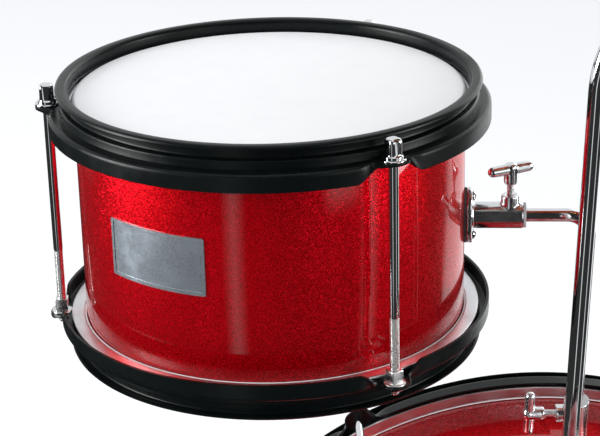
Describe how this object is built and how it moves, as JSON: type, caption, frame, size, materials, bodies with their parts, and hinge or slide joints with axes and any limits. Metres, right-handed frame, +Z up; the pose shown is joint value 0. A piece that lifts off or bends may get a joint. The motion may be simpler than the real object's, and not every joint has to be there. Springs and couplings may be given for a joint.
{
  "type": "acoustic drum kit",
  "caption": "Junior drum kit: a glossy red bass drum on spurs carries a small tom on an L-shaped arm and a cymbal on a bent arm, all held by wing bolts.",
  "frame": {"origin": "on the floor under the middle of the kit's whole box", "axes": "+Z up, -Y towards the audience, +X to the audience's right, bass drum's axis along Y"},
  "size_m": [0.5225, 0.3339, 0.86],
  "materials": {
    "wood_shell": "raw plywood inside a drum shell",
    "sparkle_wrap": "candy red with fine glitter under clear gloss",
    "head_film": "smooth white drum head",
    "flesh_metal": "pale brushed aluminium",
    "black_hoop": "satin black powder coat",
    "chrome_hardware": "polished chrome plate",
    "threaded_steel": "bright zinc plate",
    "rubber_trim": "matt black rubber",
    "nylon_bush": "pale grey nylon",
    "felt_pad": "pressed grey felt",
    "cymbal_brass": "lathed brass",
    "badge_plate": "brushed blue-grey plate"
  },
  "bodies": {
    "bass_drum": {"bass_shell": "wood_shell", "bass_wrap": "sparkle_wrap", "bass_batter_film": "head_film", "bass_batter_flesh_hoop": "flesh_metal", "bass_front_film": "head_film", "bass_front_flesh_hoop": "flesh_metal", "bass_batter_hoop": "black_hoop", "bass_front_hoop": "black_hoop", "bass_rod_washers": "chrome_hardware", "bass_rod_nuts": "chrome_hardware", "bracket_gaskets": "rubber_trim", "bracket_screws": "chrome_hardware", "arm_bracket": "chrome_hardware", "cymbal_bracket": "chrome_hardware", "left_spur_bracket": "chrome_hardware", "right_spur_bracket": "chrome_hardware"},
    "arm_bush": {"arm_bush": "nylon_bush"},
    "arm_wing_bolt": {"arm_wing_bolt": "chrome_hardware"},
    "tom_arm": {"tom_arm": "chrome_hardware"},
    "tom_bush": {"tom_bush": "nylon_bush"},
    "tom_wing_bolt": {"tom_wing_bolt": "chrome_hardware"},
    "cymbal_bush": {"cymbal_bush": "nylon_bush"},
    "cymbal_wing_bolt": {"cymbal_wing_bolt": "chrome_hardware"},
    "cymbal": {"cymbal": "cymbal_brass"},
    "cymbal_wing_nut": {"cymbal_wing_nut": "chrome_hardware"},
    "left_spur_wing_bolt": {"left_spur_wing_bolt": "chrome_hardware"},
    "right_spur_wing_bolt": {"right_spur_wing_bolt": "chrome_hardware"},
    "tom_rod_1": {"tom_rod_1": "chrome_hardware"},
    "tom_rod_2": {"tom_rod_2": "chrome_hardware"},
    "tom_rod_3": {"tom_rod_3": "chrome_hardware"},
    "bass_rod_1": {"bass_rod_1": "chrome_hardware"},
    "bass_rod_2": {"bass_rod_2": "chrome_hardware"},
    "bass_rod_3": {"bass_rod_3": "chrome_hardware"},
    "bass_rod_4": {"bass_rod_4": "chrome_hardware"},
    "bass_rod_5": {"bass_rod_5": "chrome_hardware"},
    "bass_rod_6": {"bass_rod_6": "chrome_hardware"},
    "cymbal_arm": {"cymbal_arm": "chrome_hardware", "cymbal_rod": "threaded_steel"},
    "cymbal_sleeve": {"cymbal_sleeve": "nylon_bush", "lower_felt": "felt_pad", "upper_felt": "felt_pad"},
    "left_spur": {"left_spur": "chrome_hardware", "left_spur_tip": "rubber_trim"},
    "right_spur": {"right_spur": "chrome_hardware", "right_spur_tip": "rubber_trim"},
    "tom": {"tom_shell": "wood_shell", "tom_wrap": "sparkle_wrap", "tom_batter_film": "head_film", "tom_batter_flesh_hoop": "flesh_metal", "tom_resonant_film": "head_film", "tom_resonant_flesh_hoop": "flesh_metal", "tom_batter_hoop": "black_hoop", "tom_resonant_hoop": "black_hoop", "tom_rod_washers": "chrome_hardware", "tom_rod_nuts": "chrome_hardware", "tom_badge": "badge_plate", "tom_bracket": "chrome_hardware", "tom_bracket_gasket": "rubber_trim", "tom_bracket_screws": "chrome_hardware"}
  },
  "joints": [
    {"name": "tom_arm_swivel", "type": "hinge", "parent": "bass_drum", "child": "arm_bush", "pos_m": [0.02854, 0.03473, 0.4659], "axis": [0, 0, 1], "range_deg": [-40, 20]},
    {"name": "tom_arm_height", "type": "slide", "parent": "arm_bush", "child": "tom_arm", "axis": [0, 0, 1], "range_m": [-0.04, 0.04]},
    {"name": "tom_slide", "type": "slide", "parent": "tom_arm", "child": "tom_bush", "axis": [0.9957, -0.0871, 0.0305], "range_m": [-0.03, 0.008]},
    {"name": "tom_tilt", "type": "hinge", "parent": "tom_bush", "child": "tom", "pos_m": [-0.01627, 0.03865, 0.57903], "axis": [0.9957, -0.0871, 0.0305], "range_deg": [-35, 25]},
    {"name": "cymbal_arm_swivel", "type": "hinge", "parent": "bass_drum", "child": "cymbal_bush", "pos_m": [0.01554, -0.02327, 0.4659], "axis": [0, 0, 1], "range_deg": [-150, 150]},
    {"name": "cymbal_arm_height", "type": "slide", "parent": "cymbal_bush", "child": "cymbal_arm", "axis": [0, 0, 1], "range_m": [-0.06, 0.05]},
    {"name": "cymbal_spin", "type": "hinge", "parent": "cymbal_arm", "child": "cymbal_sleeve", "pos_m": [0.08938, -0.02327, 0.8162], "axis": [0.2079, 0, 0.9781], "continuous": true},
    {"name": "cymbal_rock", "type": "hinge", "parent": "cymbal_sleeve", "child": "cymbal", "pos_m": [0.08948, -0.02327, 0.81669], "axis": [0, 1, 0], "range_deg": [-4, 4], "stiffness_Nm_per_rad": 2},
    {"name": "cymbal_wing_nut_turn", "type": "hinge", "parent": "cymbal_arm", "child": "cymbal_wing_nut", "pos_m": [0.09221, -0.02327, 0.82955], "axis": [0.2079, 0, 0.9781], "continuous": true},
    {"name": "tom_wing_bolt_turn", "type": "hinge", "parent": "tom", "child": "tom_wing_bolt", "pos_m": [-0.01368, 0.03842, 0.5791], "axis": [-0.0232, 0.0843, 0.9962], "continuous": true},
    {"name": "arm_wing_bolt_turn", "type": "hinge", "parent": "bass_drum", "child": "arm_wing_bolt", "pos_m": [0.02854, 0.03473, 0.4579], "axis": [-1, 0, 0], "continuous": true},
    {"name": "cymbal_wing_bolt_turn", "type": "hinge", "parent": "bass_drum", "child": "cymbal_wing_bolt", "pos_m": [0.01554, -0.02327, 0.4579], "axis": [1, 0, 0], "continuous": true},
    {"name": "left_spur_slide", "type": "slide", "parent": "bass_drum", "child": "left_spur", "axis": [0.5198, 0.4226, 0.7424], "range_m": [0, 0.066]},
    {"name": "left_spur_bolt_turn", "type": "hinge", "parent": "bass_drum", "child": "left_spur_wing_bolt", "pos_m": [-0.15738, -0.09841, 0.08233], "axis": [-0.8192, 0, 0.5736], "continuous": true},
    {"name": "right_spur_slide", "type": "slide", "parent": "bass_drum", "child": "right_spur", "axis": [-0.5198, 0.4226, 0.7424], "range_m": [0, 0.066]},
    {"name": "right_spur_bolt_turn", "type": "hinge", "parent": "bass_drum", "child": "right_spur_wing_bolt", "pos_m": [0.20047, -0.09841, 0.08233], "axis": [0.8192, 0, 0.5736], "continuous": true},
    {"name": "tom_rod_1_turn", "type": "hinge", "parent": "tom", "child": "tom_rod_1", "pos_m": [-0.08102, 0.14935, 0.57418], "axis": [-0.0232, 0.0843, 0.9962], "continuous": true},
    {"name": "tom_rod_2_turn", "type": "hinge", "parent": "tom", "child": "tom_rod_2", "pos_m": [-0.25415, 0.0499, 0.57856], "axis": [-0.0232, 0.0843, 0.9962], "continuous": true},
    {"name": "tom_rod_3_turn", "type": "hinge", "parent": "tom", "child": "tom_rod_3", "pos_m": [-0.08147, -0.04964, 0.591], "axis": [-0.0232, 0.0843, 0.9962], "continuous": true},
    {"name": "bass_rod_1_turn", "type": "hinge", "parent": "bass_drum", "child": "bass_rod_1", "pos_m": [0.23844, -0.01827, 0.2167], "axis": [0, 1, 0], "continuous": true},
    {"name": "bass_rod_2_turn", "type": "hinge", "parent": "bass_drum", "child": "bass_rod_2", "pos_m": [0.12999, -0.01827, 0.02886], "axis": [0, 1, 0], "continuous": true},
    {"name": "bass_rod_3_turn", "type": "hinge", "parent": "bass_drum", "child": "bass_rod_3", "pos_m": [-0.08691, -0.01827, 0.02886], "axis": [0, 1, 0], "continuous": true},
    {"name": "bass_rod_4_turn", "type": "hinge", "parent": "bass_drum", "child": "bass_rod_4", "pos_m": [-0.19536, -0.01827, 0.2167], "axis": [0, 1, 0], "continuous": true},
    {"name": "bass_rod_5_turn", "type": "hinge", "parent": "bass_drum", "child": "bass_rod_5", "pos_m": [-0.08691, -0.01827, 0.40454], "axis": [0, 1, 0], "continuous": true},
    {"name": "bass_rod_6_turn", "type": "hinge", "parent": "bass_drum", "child": "bass_rod_6", "pos_m": [0.12999, -0.01827, 0.40454], "axis": [0, 1, 0], "continuous": true}
  ]
}
